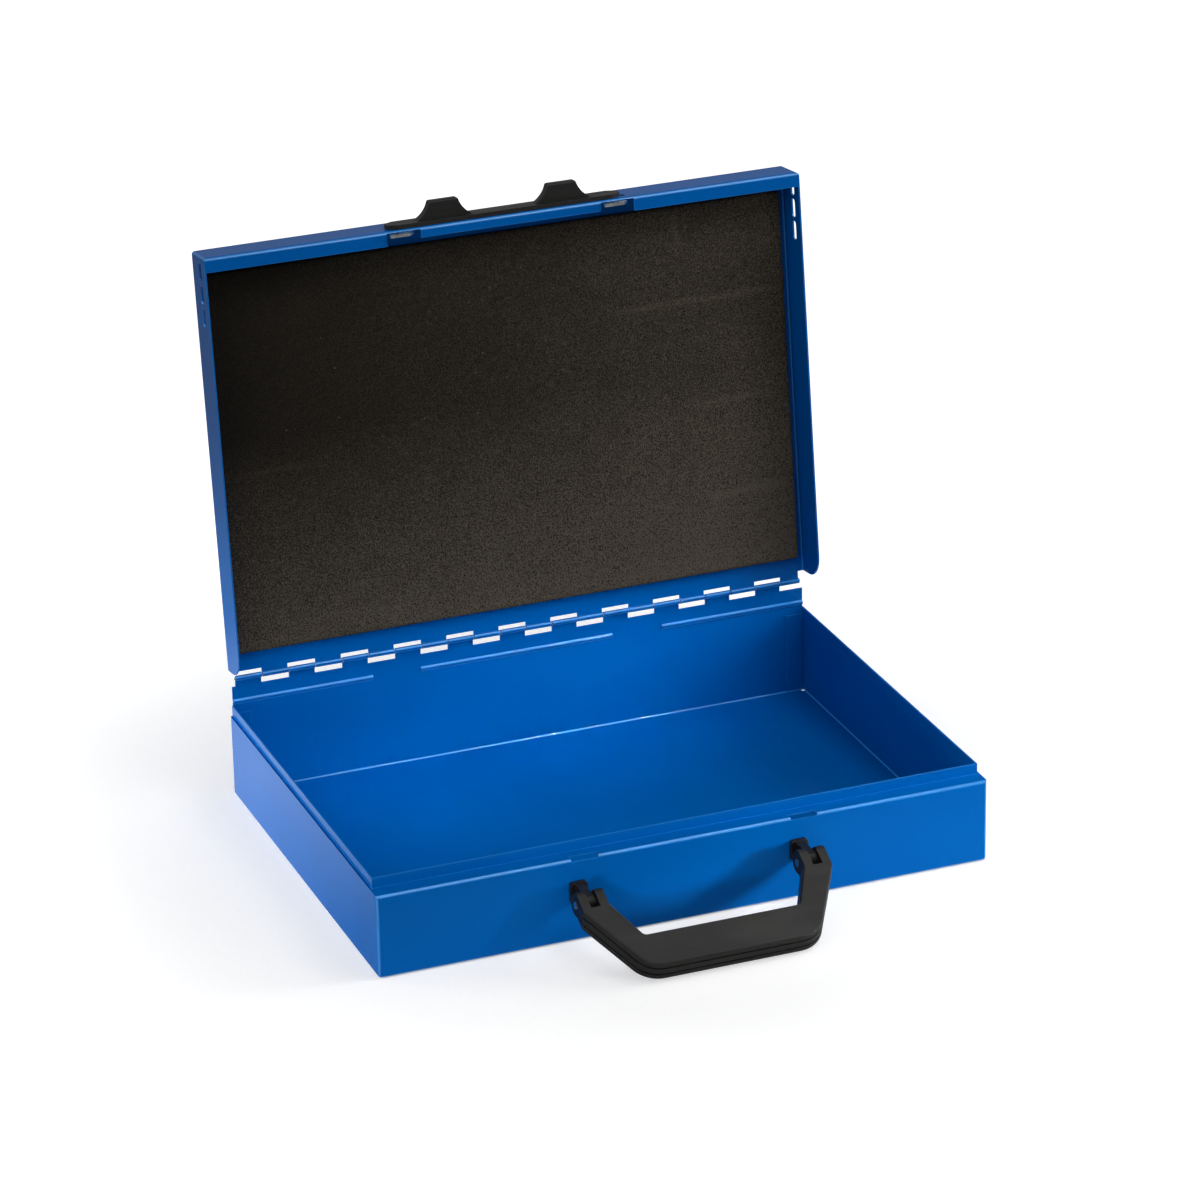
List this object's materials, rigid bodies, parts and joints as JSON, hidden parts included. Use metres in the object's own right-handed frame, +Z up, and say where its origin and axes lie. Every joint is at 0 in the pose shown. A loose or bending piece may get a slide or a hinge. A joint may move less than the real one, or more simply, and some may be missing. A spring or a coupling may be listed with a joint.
{
  "type": "carrying case",
  "caption": "Shallow folded-steel carrying case with a foam-lined lid on a rolled hinge, a sliding two-hook latch and a plastic bail handle.",
  "frame": {"origin": "middle of the tray's underside, on the table", "axes": "+X to the right along the hinge, +Y from the handle towards the hinge, +Z up"},
  "size_m": [0.33, 0.3204, 0.3092],
  "materials": {
    "painted_steel": "semi-gloss powder coat",
    "black_plastic": "satin moulded",
    "bright_steel": "zinc plated",
    "foam": "soft open foam"
  },
  "bodies": {
    "base": {"base_shell": "painted_steel", "corner_tab_left": "painted_steel", "corner_tab_right": "painted_steel", "hinge_wire": "bright_steel", "bracket_left": "black_plastic", "bracket_right": "black_plastic", "backing_left": "bright_steel", "backing_right": "bright_steel", "screw_left": "bright_steel", "screw_right": "bright_steel", "pin_left": "bright_steel", "pin_right": "bright_steel"},
    "lid": {"lid_shell": "painted_steel", "foam_liner": "foam"},
    "latch": {"latch_bar": "black_plastic", "hook_left": "bright_steel", "hook_right": "bright_steel", "latch_rivet_left": "bright_steel", "latch_rivet_right": "bright_steel"},
    "handle": {"handle_bail": "black_plastic"}
  },
  "joints": [
    {"name": "lid_hinge", "type": "hinge", "parent": "base", "child": "lid", "pos_m": [0, 0.11455, 0.06655], "axis": [1, 0, 0], "range_deg": [0, 97]},
    {"name": "latch_slide", "type": "slide", "parent": "lid", "child": "latch", "axis": [1, 0, 0], "range_m": [0, 0.004]},
    {"name": "handle_pivot", "type": "hinge", "parent": "base", "child": "handle", "pos_m": [0, -0.131, 0.0274], "axis": [-1, 0, 0], "range_deg": [0, 95]}
  ]
}
